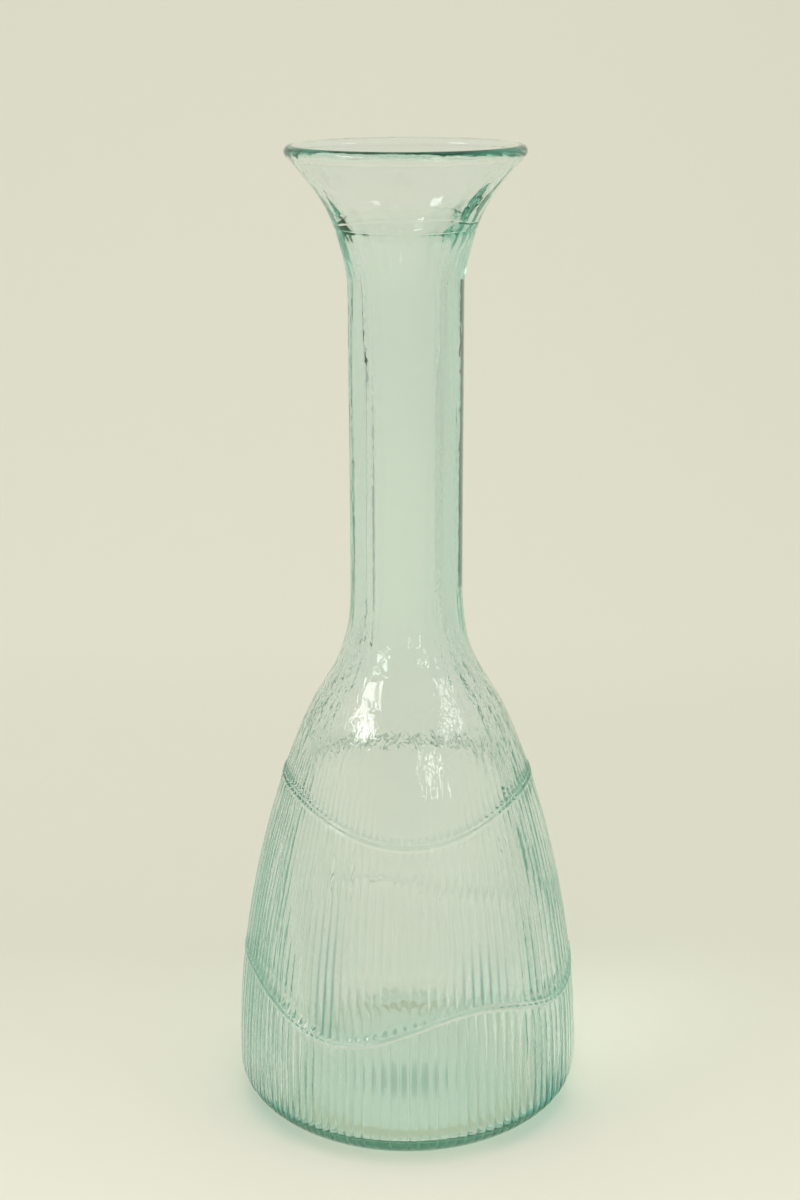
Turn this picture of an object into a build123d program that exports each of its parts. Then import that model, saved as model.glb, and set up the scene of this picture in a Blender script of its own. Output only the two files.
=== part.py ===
from build123d import *
import math
import os

# Bottle vase of moulded glass, standing on z = 0 with its axis on Z. All sizes are in millimetres.

# Heights of the zones, stacked from the foot upwards
HEEL_HEIGHT = 12.5
BODY_HEIGHT = 123.5
SHOULDER_HEIGHT = 50.6
NECK_LENGTH = 99.4
COLLAR_HEIGHT = 18.4
MOUTH_HEIGHT = 25.6

# Outside diameters
BODY_DIAMETER = 120.0
SHOULDER_DIAMETER = 72.4
NECK_DIAMETER = 37.6
COLLAR_DIAMETER = 45.2
MOUTH_DIAMETER = 76.8

# Glass. The wall is thickest in the neck and thins out through the collar
WALL = 3.8
NECK_WALL = 7.2
COLLAR_WALL = 5.0
BASE_THICKNESS = 7.4
PUSH_UP = 3.0
INNER_HEEL_RADIUS = 3.0
FLOOR_LEDGE = 11.2
FOOT_RING_WIDTH = 5.0
NECK_RING_STEP = 0.3

# Lip: a round bead that stands out from the mouth's cone
LIP_DIAMETER = 4.0
LIP_BULGE = 0.15

# Slopes of the outline: sideways run per unit of height
SHOULDER_SLOPE = 0.40
COLLAR_SLOPE = 0.18
MOUTH_SLOPE = 0.37
INNER_RING_SLOPE = 0.60

# Angles from upright of the mouth's two sides at the lip, in degrees
MOUTH_ANGLE = 38.5
MOUTH_INNER_ANGLE = 34.5

# Fullness of each curved stretch: how far its end tangents reach, as a share of its height
BODY_FULLNESS = (0.15, 0.44)
SHOULDER_FULLNESS = (0.38, 0.58)
COLLAR_FULLNESS = (0.30, 0.28)
MOUTH_FULLNESS = (0.43, 0.28)

# Upright ribs. They stand closer together on one side of the vase than on the other
RIB_COUNT = 120
RIB_DEPTH = 0.5
RIB_CROWDING = 0.18

# Share of the rib depth where the ribs rise under a ridge, and where they are halfway to fading out above one
RIB_RISE = 0.3
RIB_FADE = 0.7

# Rings round the heel from the foot up: turn of the quarter ellipse in degrees, and share of the rib depth
HEEL_RINGS = ((0, 0.0), (28, 0.0), (50, 0.0), (62, 1.0), (76, 1.0), (90, 1.0))

# Raised wavy ridges. Each wave is a sum of (waves per turn, height, angle of a crest in degrees)
RIDGE_WIDTH = 3.6
RIDGE_RELIEF = 0.55
UPPER_WAVE_DROP = 21.1
UPPER_WAVE = ((2, 4.15, 90.0), (3, 1.2, 60.0), (4, 0.3, 45.0))
LOWER_WAVE_RISE = 36.8
LOWER_WAVE = ((1, 0.9, 98.0), (2, 1.4, 95.0), (3, 1.75, 26.0), (4, 4.0, 20.0))

# Levels that follow from the heights
BODY_FOOT = HEEL_HEIGHT
BODY_TOP = BODY_FOOT + BODY_HEIGHT
BODY_MIDDLE = BODY_FOOT + BODY_HEIGHT / 2
NECK_FOOT = BODY_TOP + SHOULDER_HEIGHT
NECK_TOP = NECK_FOOT + NECK_LENGTH
NECK_RING = NECK_TOP + COLLAR_HEIGHT
TOP = NECK_RING + MOUTH_HEIGHT

# Diameters that follow: the base ends a ledge short of the rounded inside corner, and the foot ring lies round it
BASE_DIAMETER = BODY_DIAMETER - 2 * (WALL + INNER_HEEL_RADIUS + FLOOR_LEDGE)
FOOT_DIAMETER = BASE_DIAMETER + 2 * FOOT_RING_WIDTH


def bezier_points(start, start_direction, end, end_direction):
    """Gives the four control points of a curve that leaves and arrives along the given (radius, height) steps."""
    leave = (start[0] + start_direction[0], start[1] + start_direction[1])
    arrive = (end[0] - end_direction[0], end[1] - end_direction[1])
    return start, leave, arrive, end


def bezier_at(points, share):
    """Gives the (radius, height) at a share, 0 to 1, of the way along a cubic curve."""
    rest = 1 - share
    weights = (rest**3, 3 * rest**2 * share, 3 * rest * share**2, share**3)
    radius = sum(w * p[0] for w, p in zip(weights, points))
    height = sum(w * p[1] for w, p in zip(weights, points))
    return radius, height


def radius_at_height(points, height):
    """Finds a rising curve's radius at a height by halving the stretch that holds it."""
    low, high = 0.0, 1.0
    for _ in range(40):
        middle = (low + high) / 2
        if bezier_at(points, middle)[1] < height:
            low = middle
        else:
            high = middle
    return bezier_at(points, low)[0]


def level_wall(slope):
    """Gives the wall's width measured level, where the wall leans by the given slope."""
    return WALL * math.hypot(1, slope)


def body_curve(inset_foot=0.0, inset_top=0.0, foot=BODY_FOOT):
    """Outline of the body from its widest place up to the shoulder, set in from the outside."""
    height = BODY_TOP - foot
    low, high = BODY_FULLNESS[0] * height, BODY_FULLNESS[1] * height
    return bezier_points(
        (BODY_DIAMETER / 2 - inset_foot, foot),
        (0, low),
        (SHOULDER_DIAMETER / 2 - inset_top, BODY_TOP),
        (-SHOULDER_SLOPE * high, high),
    )


def shoulder_curve(inset_foot=0.0, inset_top=0.0):
    """Outline of the shoulder from the body to the straight neck."""
    low, high = SHOULDER_FULLNESS[0] * SHOULDER_HEIGHT, SHOULDER_FULLNESS[1] * SHOULDER_HEIGHT
    return bezier_points(
        (SHOULDER_DIAMETER / 2 - inset_foot, BODY_TOP),
        (-SHOULDER_SLOPE * low, low),
        (NECK_DIAMETER / 2 - inset_top, NECK_FOOT),
        (0, high),
    )


def collar_curve(slope, inset_foot=0.0, inset_top=0.0):
    """Outline of the collar from the straight neck to the neck-ring line, where it has the given slope."""
    low, high = COLLAR_FULLNESS[0] * COLLAR_HEIGHT, COLLAR_FULLNESS[1] * COLLAR_HEIGHT
    return bezier_points(
        (NECK_DIAMETER / 2 - inset_foot, NECK_TOP),
        (0, low),
        (COLLAR_DIAMETER / 2 - inset_top, NECK_RING),
        (slope * high, high),
    )


def lip_point(angle):
    """Place on the lip's bead at an angle in degrees from straight outwards, turning over the crest."""
    bead_radius = LIP_DIAMETER / 2
    return (
        MOUTH_DIAMETER / 2 - bead_radius + bead_radius * math.cos(math.radians(angle)),
        TOP - bead_radius + bead_radius * math.sin(math.radians(angle)),
    )


def lip_angles():
    """Angles on the bead where the cone meets it: under the bulge outside, and in a smooth touch inside."""
    bead_radius = LIP_DIAMETER / 2
    outside = -MOUTH_ANGLE - math.degrees(math.acos((bead_radius - LIP_BULGE) / bead_radius))
    return outside, 180 - MOUTH_INNER_ANGLE


def mouth_curve(foot_radius, foot_slope, lip_angle, cone_angle):
    """One side of the flared mouth, from the neck-ring line to the bead of the lip."""
    low, high = MOUTH_FULLNESS[0] * MOUTH_HEIGHT, MOUTH_FULLNESS[1] * MOUTH_HEIGHT
    return bezier_points(
        (foot_radius, NECK_RING),
        (foot_slope * low, low),
        lip_point(lip_angle),
        (math.tan(math.radians(cone_angle)) * high, high),
    )


def wave_height(level, wave, angle):
    """Height of a wavy line at an angle round the vase, measured from the front towards +X."""
    return level + sum(size * math.cos(count * (angle - math.radians(crest))) for count, size, crest in wave)


def rib_angles():
    """Angles of the rib crests and valleys by turns, crowded towards -X and spread towards +X."""
    evenly = [math.pi * i / RIB_COUNT for i in range(2 * RIB_COUNT)]
    return [turn - RIB_CROWDING * math.cos(turn) for turn in evenly]


def fluted_ring(height_at, radius_at, rib_share):
    """Closed ring of straight edges over the rib crests and valleys.

    height_at gives the height at an angle and radius_at the radius at a height. rib_share scales the rib depth.
    """
    corners = []
    for i, angle in enumerate(rib_angles()):
        height = height_at(angle)
        crest = 0.5 if i % 2 == 0 else -0.5
        radius = radius_at(height) + crest * rib_share * RIB_DEPTH
        corners.append((radius * math.sin(angle), -radius * math.cos(angle), height))
    return Wire.make_polygon(corners, close=True)


def body_radius(height):
    """Mean outside radius of the ribbed body."""
    return radius_at_height(body_curve(), height)


def level_ring(height, rib_share):
    """Fluted ring that lies level on the body."""
    return fluted_ring(lambda angle: height, body_radius, rib_share)


def wave_rings(level, wave, above, below, share_above):
    """Fluted rings that carry the body over a wavy ridge, from the bottom up.

    below and above are the levels of the neighbouring flat rings, and share_above is the rib depth on the way to
    the upper one. The ribs stop short at the ridge's upper edge and rise softly under it. The ridge is smooth.
    """

    def line(offset):
        return lambda angle: wave_height(level, wave, angle) + offset

    def halfway(offset, end):
        return lambda angle: (wave_height(level, wave, angle) + offset + end) / 2

    def ridge_radius(height):
        return body_radius(height) + RIDGE_RELIEF

    edge = RIDGE_WIDTH / 2
    return [
        fluted_ring(halfway(-edge, below), body_radius, 1.0),
        fluted_ring(line(-edge), body_radius, RIB_RISE),
        fluted_ring(line(edge / 4), ridge_radius, 0.0),
        fluted_ring(line(edge), body_radius, 1.0),
        fluted_ring(halfway(edge, above), body_radius, share_above),
    ]


def heel_rings():
    """Fluted rings round the elliptic heel, from the foot up. The ribs end a little above the foot."""
    reach = (BODY_DIAMETER - FOOT_DIAMETER) / 2
    rings = []
    for turn, rib_share in HEEL_RINGS:
        radius = FOOT_DIAMETER / 2 + reach * math.sin(math.radians(turn))
        height = HEEL_HEIGHT * (1 - math.cos(math.radians(turn)))
        rings.append(fluted_ring(lambda angle, h=height: h, lambda h, r=radius: r, rib_share))
    return rings


def closed_outline(*edges):
    """Turns edges drawn in (radius, height) on the XZ plane into a solid of revolution round Z."""
    face = Plane.XZ * make_face(list(edges))
    return revolve(face, Axis.Z)


def tube(outer, inner):
    """Solid ring between an outer and an inner curve, closed by straight edges at both ends."""
    return closed_outline(Bezier(*outer), Line(outer[-1], inner[-1]), Bezier(*inner), Line(inner[0], outer[0]))


def core():
    """Solid that fills the inside of the body and the base's seat, from below the foot up past the shoulder line."""
    seat_radius = BASE_DIAMETER / 2
    wall = body_curve(WALL, level_wall(SHOULDER_SLOPE), foot=BASE_THICKNESS + INNER_HEEL_RADIUS)
    corner = (wall[0][0] - INNER_HEEL_RADIUS, BASE_THICKNESS)
    below, above = -WALL, BODY_TOP + WALL
    return closed_outline(
        Polyline((0, below), (seat_radius, below), (seat_radius, BASE_THICKNESS), corner),
        RadiusArc(corner, wall[0], -INNER_HEEL_RADIUS),
        Bezier(*wall),
        Polyline(wall[-1], (wall[-1][0], above), (0, above), (0, below)),
    )


def floor_arc(level):
    """Shallow dome of the push-up, from the axis out to the base's edge at a level."""
    radius = BASE_DIAMETER / 2
    dome_radius = (radius**2 + PUSH_UP**2) / (2 * PUSH_UP)
    return RadiusArc((0, level + PUSH_UP), (radius, level), dome_radius)


def base():
    """Thick bottom of the vase, domed alike above and below."""
    radius = BASE_DIAMETER / 2
    return closed_outline(
        floor_arc(0),
        Line((radius, 0), (radius, BASE_THICKNESS)),
        floor_arc(BASE_THICKNESS),
        Line((0, BASE_THICKNESS + PUSH_UP), (0, PUSH_UP)),
    )


def heel():
    """Rounded bottom edge with the rib ends, and the flat ring that the vase stands on."""
    return Solid.make_loft(heel_rings(), ruled=True) - core()


def lower_body():
    """Ribbed wall from the heel to half of the body's height, with the lower ridge."""
    level = BODY_FOOT + LOWER_WAVE_RISE
    rings = [level_ring(BODY_FOOT, 1.0)]
    rings += wave_rings(level, LOWER_WAVE, BODY_MIDDLE, BODY_FOOT, 1.0)
    rings.append(level_ring(BODY_MIDDLE, 1.0))
    return Solid.make_loft(rings, ruled=True) - core()


def upper_body():
    """Ribbed wall from half of the body's height to the shoulder, with the upper ridge."""
    level = BODY_TOP - UPPER_WAVE_DROP
    rings = [level_ring(BODY_MIDDLE, 1.0)]
    rings += wave_rings(level, UPPER_WAVE, BODY_TOP, BODY_MIDDLE, RIB_FADE)
    rings.append(level_ring(BODY_TOP, 0.0))
    return Solid.make_loft(rings, ruled=True) - core()


def shoulder():
    """Smooth slope between the ribbed body and the neck."""
    return tube(shoulder_curve(), shoulder_curve(level_wall(SHOULDER_SLOPE), NECK_WALL))


def neck():
    """Straight thick neck with a round bore."""
    ring = Circle(NECK_DIAMETER / 2) - Circle(NECK_DIAMETER / 2 - NECK_WALL)
    return extrude(Plane.XY.offset(NECK_FOOT) * ring, NECK_LENGTH)


def collar():
    """Thick glass that opens from the neck to the neck-ring line."""
    return tube(collar_curve(COLLAR_SLOPE), collar_curve(INNER_RING_SLOPE, NECK_WALL, COLLAR_WALL))


def flared_mouth():
    """Cone of the mouth. Its outside stands proud of the collar by a fine step, the neck-ring line."""
    lip_outside, lip_inside = lip_angles()
    outside = mouth_curve(COLLAR_DIAMETER / 2 + NECK_RING_STEP, MOUTH_SLOPE, lip_outside, MOUTH_ANGLE)
    inside = mouth_curve(COLLAR_DIAMETER / 2 - COLLAR_WALL, INNER_RING_SLOPE, lip_inside, MOUTH_INNER_ANGLE)
    return tube(outside, inside)


def lip():
    """Round bead along the edge of the mouth, cut off straight where it sits on the cone."""
    outside, inside = lip_angles()
    middle = (outside + inside) / 2
    arc = ThreePointArc(lip_point(outside), lip_point(middle), lip_point(inside))
    return closed_outline(arc, Line(lip_point(inside), lip_point(outside)))


NODES = (base, heel, lower_body, upper_body, shoulder, neck, collar, flared_mouth, lip)


def main():
    """Writes one file for each zone of the glass."""
    os.makedirs("parts", exist_ok=True)
    for make in NODES:
        solid = make()
        solid.label = make.__name__
        export_step(solid, f"parts/{make.__name__}.step")


main()
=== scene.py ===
"""Looks of a bottle vase of pale aqua moulded glass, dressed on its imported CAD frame.

The glass is one closed surface. It is a stack of rings that starts at the middle of the underside, climbs
the outside, turns over the lip, comes down the inside and ends at the middle of the inner floor. Ribs, wavy
ridges, mould seams and the neck-ring line are in the rings themselves. All lengths are in metres.
"""

import logging
import math
from dataclasses import dataclass, field
from enum import Enum

import bpy
import numpy as np
from mathutils import Matrix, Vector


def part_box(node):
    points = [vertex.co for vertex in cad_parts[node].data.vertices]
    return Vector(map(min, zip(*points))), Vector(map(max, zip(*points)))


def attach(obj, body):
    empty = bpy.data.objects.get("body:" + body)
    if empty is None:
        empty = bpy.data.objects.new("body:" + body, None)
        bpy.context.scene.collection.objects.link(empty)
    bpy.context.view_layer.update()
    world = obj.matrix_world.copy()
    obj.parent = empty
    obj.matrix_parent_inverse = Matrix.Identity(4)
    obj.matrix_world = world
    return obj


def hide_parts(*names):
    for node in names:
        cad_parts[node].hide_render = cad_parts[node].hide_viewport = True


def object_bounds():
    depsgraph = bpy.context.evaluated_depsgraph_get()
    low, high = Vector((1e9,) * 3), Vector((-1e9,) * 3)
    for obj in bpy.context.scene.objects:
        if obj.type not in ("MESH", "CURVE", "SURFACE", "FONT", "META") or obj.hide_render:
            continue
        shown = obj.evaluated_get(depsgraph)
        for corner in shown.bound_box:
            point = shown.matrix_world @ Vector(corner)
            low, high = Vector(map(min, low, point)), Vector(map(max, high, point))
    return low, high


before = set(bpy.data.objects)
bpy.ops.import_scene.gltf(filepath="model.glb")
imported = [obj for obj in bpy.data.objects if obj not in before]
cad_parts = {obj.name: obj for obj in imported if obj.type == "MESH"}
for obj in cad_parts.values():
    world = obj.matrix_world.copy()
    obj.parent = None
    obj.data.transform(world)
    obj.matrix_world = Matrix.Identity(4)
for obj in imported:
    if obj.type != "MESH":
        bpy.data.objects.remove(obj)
CAD_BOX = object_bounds()

LOG = logging.getLogger("bottle_vase")
PHOTO_HEIGHT = 1200
MM = 0.001
TURN = 2.0 * math.pi
CURVE_SAMPLES = 600

Array = np.ndarray
Pair = tuple[float, float]
Triple = tuple[float, float, float]
Source = float | tuple[float, ...] | bpy.types.NodeSocket
Inputs = dict[str | int, Source]

MATT: Inputs = {"Roughness": 0.9, "Specular IOR Level": 0.0}


class Wall(Enum):
    """Side of the glass wall that a curve lies on."""

    OUTSIDE = 1
    INSIDE = -1


class Zone(Enum):
    """Zone of the glass whose outline is one curve."""

    BODY = 1
    SHOULDER = 2
    COLLAR = 3
    MOUTH = 4


def ramp(value: Array, start: float, end: float) -> Array:
    """Even change from 0 at the start to 1 at the end, level beyond both."""
    return np.clip((value - start) / (end - start), 0.0, 1.0)


def bell(value: Array, half_width: float) -> Array:
    """Bell curve: exp(-(value / half width)^2)."""
    return np.exp(-((value / half_width) ** 2))


def angle_from(angle: Array, direction: float) -> Array:
    """Angles from a direction in degrees, wrapped to half a turn on either side, in radians."""
    return np.mod(angle - math.radians(direction) + math.pi, TURN) - math.pi


@dataclass(frozen=True)
class Curve:
    """Cubic curve in (radius, height) that joins two ends along given steps."""

    start: Pair
    leave: Pair
    arrive: Pair
    end: Pair

    def at(self, share: Array) -> Array:
        """Points of the curve: the cubic Bernstein sum of start, start + leave, end - arrive and end.

        Args:
            share: places along the curve, from 0 to 1.

        Returns:
            Array of (radius, height), one row per share.
        """
        inner = np.add(self.start, self.leave), np.subtract(self.end, self.arrive)
        corners = np.array([self.start, *inner, self.end])
        rest = 1.0 - share
        weights = np.stack([rest**3, 3 * rest**2 * share, 3 * rest * share**2, share**3], axis=-1)
        return weights @ corners

    def radius_at(self, height: Array) -> Array:
        """Radius at each height, read off a dense run of the rising curve."""
        points = self.at(np.linspace(0.0, 1.0, CURVE_SAMPLES))
        return np.interp(height, points[:, 1], points[:, 0])


@dataclass(frozen=True)
class WavyRidge:
    """Raised line round the body whose height is a mean level plus a few cosine waves of the angle."""

    level: float
    waves: tuple[tuple[int, float, float], ...]
    back_share: float
    fade: Pair = (-1 / 3, 1 / 3)

    def height(self, angle: Array) -> Array:
        """Height of the line: level + sum of size * cos(count * (angle - crest)).

        Args:
            angle: angles round the vase, from the front towards +X, in radians.

        Returns:
            Heights of the same shape.
        """
        total = np.full_like(angle, self.level)
        for count, size, crest in self.waves:
            total += size * np.cos(count * (angle - math.radians(crest)))
        return total

    def strength(self, angle: Array) -> Array:
        """Share of the full relief: 1 in front, the back share behind, and an even change in cos(angle)."""
        return self.back_share + (1.0 - self.back_share) * ramp(np.cos(angle), *self.fade)


@dataclass
class VaseShape:
    """Sizes of the glass: levels and radii read from the frame, and the finer sizes of its relief."""

    wall: float = 3.8 * MM
    neck_wall: float = 7.2 * MM
    collar_wall: float = 5.0 * MM
    lip_diameter: float = 4.0 * MM
    lip_bulge: float = 0.15 * MM
    base_thickness: float = 7.4 * MM
    push_up: float = 3.0 * MM
    inner_heel_radius: float = 3.0 * MM
    floor_ledge: float = 11.2 * MM
    foot_ring_width: float = 5.0 * MM
    mouth_foot_step: float = 0.3 * MM
    shoulder_slope: float = 0.40
    collar_slope: float = 0.18
    mouth_slope: float = 0.37
    inner_ring_slope: float = 0.60
    mouth_angle: float = math.radians(38.5)
    mouth_inner_angle: float = math.radians(34.5)
    body_fullness: Pair = (0.15, 0.44)
    shoulder_fullness: Pair = (0.38, 0.58)
    collar_fullness: Pair = (0.30, 0.28)
    mouth_fullness: Pair = (0.43, 0.28)
    rib_count: int = 120
    rib_depth: float = 0.5 * MM
    rib_crowding: float = 0.18
    ridge_width: float = 3.6 * MM
    ridge_relief: float = 0.7 * MM
    bead_relief: float = 0.9 * MM
    upper_wave_drop: float = 21.1 * MM
    lower_wave_rise: float = 36.8 * MM
    body_foot: float = field(init=False)
    body_top: float = field(init=False)
    neck_foot: float = field(init=False)
    neck_top: float = field(init=False)
    neck_ring: float = field(init=False)
    top: float = field(init=False)
    body_radius: float = field(init=False)
    shoulder_radius: float = field(init=False)
    neck_radius: float = field(init=False)
    collar_radius: float = field(init=False)
    mouth_radius: float = field(init=False)

    def __post_init__(self) -> None:
        """Reads the levels and radii from the frame's nodes."""
        self.body_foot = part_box("lower_body")[0].z
        self.body_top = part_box("upper_body")[1].z
        self.neck_foot, self.neck_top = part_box("neck")[0].z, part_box("neck")[1].z
        self.neck_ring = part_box("collar")[1].z
        self.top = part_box("lip")[1].z
        self.body_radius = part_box("heel")[1].x - self.rib_depth / 2
        self.shoulder_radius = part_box("shoulder")[1].x
        self.neck_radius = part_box("neck")[1].x
        self.collar_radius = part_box("collar")[1].x
        self.mouth_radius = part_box("lip")[1].x

    @property
    def base_radius(self) -> float:
        """Radius of the domed part of the base."""
        return self.body_radius - self.wall - self.inner_heel_radius - self.floor_ledge

    @property
    def foot_radius(self) -> float:
        """Outside radius of the flat ring that the vase stands on."""
        return self.base_radius + self.foot_ring_width

    @property
    def floor_top(self) -> float:
        """Height of the inner floor's dome before the floor falls to the back."""
        return self.base_thickness + self.push_up

    @property
    def shoulder_wall(self) -> float:
        """Width of the wall measured level where the body leans into the shoulder."""
        return self.wall * math.hypot(1.0, self.shoulder_slope)

    @property
    def lower_ridge(self) -> WavyRidge:
        """Wavy line low on the body."""
        waves = ((1, 0.9 * MM, 98.0), (2, 1.4 * MM, 95.0), (3, 1.75 * MM, 26.0), (4, 4.0 * MM, 20.0))
        return WavyRidge(self.body_foot + self.lower_wave_rise, waves, back_share=0.3)

    @property
    def upper_ridge(self) -> WavyRidge:
        """Wavy line high on the body."""
        waves = ((2, 4.15 * MM, 90.0), (3, 1.2 * MM, 60.0), (4, 0.3 * MM, 45.0))
        return WavyRidge(self.body_top - self.upper_wave_drop, waves, back_share=0.6)

    def outline(self, zone: Zone, side: Wall) -> Curve:
        """Outline of one zone on one side of its wall, from its lower to its upper end.

        A slope is the step outwards for each step up. The curve's steps reach over shares of the zone's
        height, and the mouth's height is taken up to the top of the lip.

        Args:
            zone: zone of the glass.
            side: outside or inside of the wall.

        Returns:
            The curve.
        """
        inside = side is Wall.INSIDE
        walls = (self.wall, self.shoulder_wall, self.neck_wall, self.collar_wall)
        radii = (self.body_radius, self.shoulder_radius, self.neck_radius, self.collar_radius)
        body, shoulder, neck, collar = np.subtract(radii, walls) if inside else radii
        heel = self.base_thickness + self.inner_heel_radius if inside else self.body_foot
        ring_slope = self.inner_ring_slope if inside else self.collar_slope
        mouth_slope = self.inner_ring_slope if inside else self.mouth_slope
        flare = math.tan(self.mouth_inner_angle if inside else self.mouth_angle)
        mouth = collar if inside else collar + self.mouth_foot_step
        lean, bend, ring = -self.shoulder_slope, (shoulder, self.body_top), (collar, self.neck_ring)
        rim = tuple(self.lip(np.array([self.lip_edge(side)]))[0])
        low, high, slopes, fullness = {
            Zone.BODY: ((body, heel), bend, (0.0, lean), self.body_fullness),
            Zone.SHOULDER: (bend, (neck, self.neck_foot), (lean, 0.0), self.shoulder_fullness),
            Zone.COLLAR: ((neck, self.neck_top), ring, (0.0, ring_slope), self.collar_fullness),
            Zone.MOUTH: ((mouth, self.neck_ring), rim, (mouth_slope, flare), self.mouth_fullness),
        }[zone]
        height = (self.top if zone is Zone.MOUTH else high[1]) - low[1]
        reaches = (share * height for share in fullness)
        leave, arrive = ((slope * reach, reach) for slope, reach in zip(slopes, reaches))
        return Curve(low, leave, arrive, high)

    def lip_edge(self, side: Wall) -> float:
        """Angle round the lip's bead at which a side of the mouth's wall meets it.

        The outside of the wall lies the bulge inside the bead's own tangent, and the inside touches the bead
        smoothly.

        Args:
            side: outside or inside of the wall.

        Returns:
            Angle from straight outwards, anticlockwise over the crest, in radians.
        """
        if side is Wall.INSIDE:
            return math.pi - self.mouth_inner_angle
        return -self.mouth_angle - math.acos(1.0 - self.lip_bulge / (self.lip_diameter / 2))

    def lip(self, around: Array) -> Array:
        """Points of the lip's round bead, which touches the top and the widest place of the mouth.

        Args:
            around: angles from straight outwards, in radians.

        Returns:
            Array of (radius, height), one row per angle.
        """
        bead = self.lip_diameter / 2
        middle = np.array([self.mouth_radius - bead, self.top - bead])
        return middle + bead * np.stack([np.cos(around), np.sin(around)], axis=-1)


@dataclass(frozen=True)
class WaveField:
    """Smooth seeded unevenness over angle and height: many cosine waves added together."""

    size: float
    turns: tuple[int, int]
    rises: Pair
    seed: int
    count: int = 28

    def relief(self, angle: Array, height: Array) -> Array:
        """Relief: size * sqrt(2 / count) * sum of cos(turns * angle + rise * height + start).

        Args:
            angle: angles round the vase, in radians.
            height: heights, in metres.

        Returns:
            Relief in metres, with a root mean square of size.
        """
        draw = np.random.default_rng(self.seed)
        turns = draw.integers(self.turns[0], self.turns[1] + 1, self.count)
        rises = draw.uniform(*self.rises, self.count) * draw.choice((-1.0, 1.0), self.count)
        starts = draw.uniform(0.0, TURN, self.count)
        phase = turns * angle[..., None] + rises * height[..., None] / MM + starts
        return self.size * math.sqrt(2.0 / self.count) * np.cos(phase).sum(axis=-1)


@dataclass(frozen=True)
class Pool:
    """Place where the glass ran thick on the inside of the wall, or thin where the thickness is negative."""

    angle: float
    height: float
    half_angle: float
    half_height: float
    thickness: float

    def relief(self, angle: Array, height: Array) -> Array:
        """Extra thickness in metres: a bell curve over the angle times one over the height."""
        around = bell(angle_from(angle, self.angle), math.radians(self.half_angle))
        return self.thickness * around * bell(height - self.height, self.half_height)


@dataclass(frozen=True)
class ShadeSpot:
    """Stretch of the ribs whose valleys carry painted shade, and low down the ribs too, by the share fill."""

    angle: float
    half_angle: float
    reach: float
    fill: float = 0.0
    start_length: float = 2.0 * MM

    def amount(self, valleys: Array, angle: Array, above: Array) -> Array:
        """Painted shade: a bell curve over the angle, full up to half the reach and gone at the full reach.

        Args:
            valleys: mask of the valleys.
            angle: angles round the vase, in radians.
            above: heights above the start of the stretch, in metres.

        Returns:
            Values from 0 up.
        """
        spread = bell(angle_from(angle, self.angle), math.radians(self.half_angle))
        length = ramp(above, 0.0, self.start_length) * ramp(above, self.reach, self.reach / 2)
        ribs = self.fill * ramp(above, self.reach / 2, 0.0)
        return spread * length * np.maximum(valleys, ribs)


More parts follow.
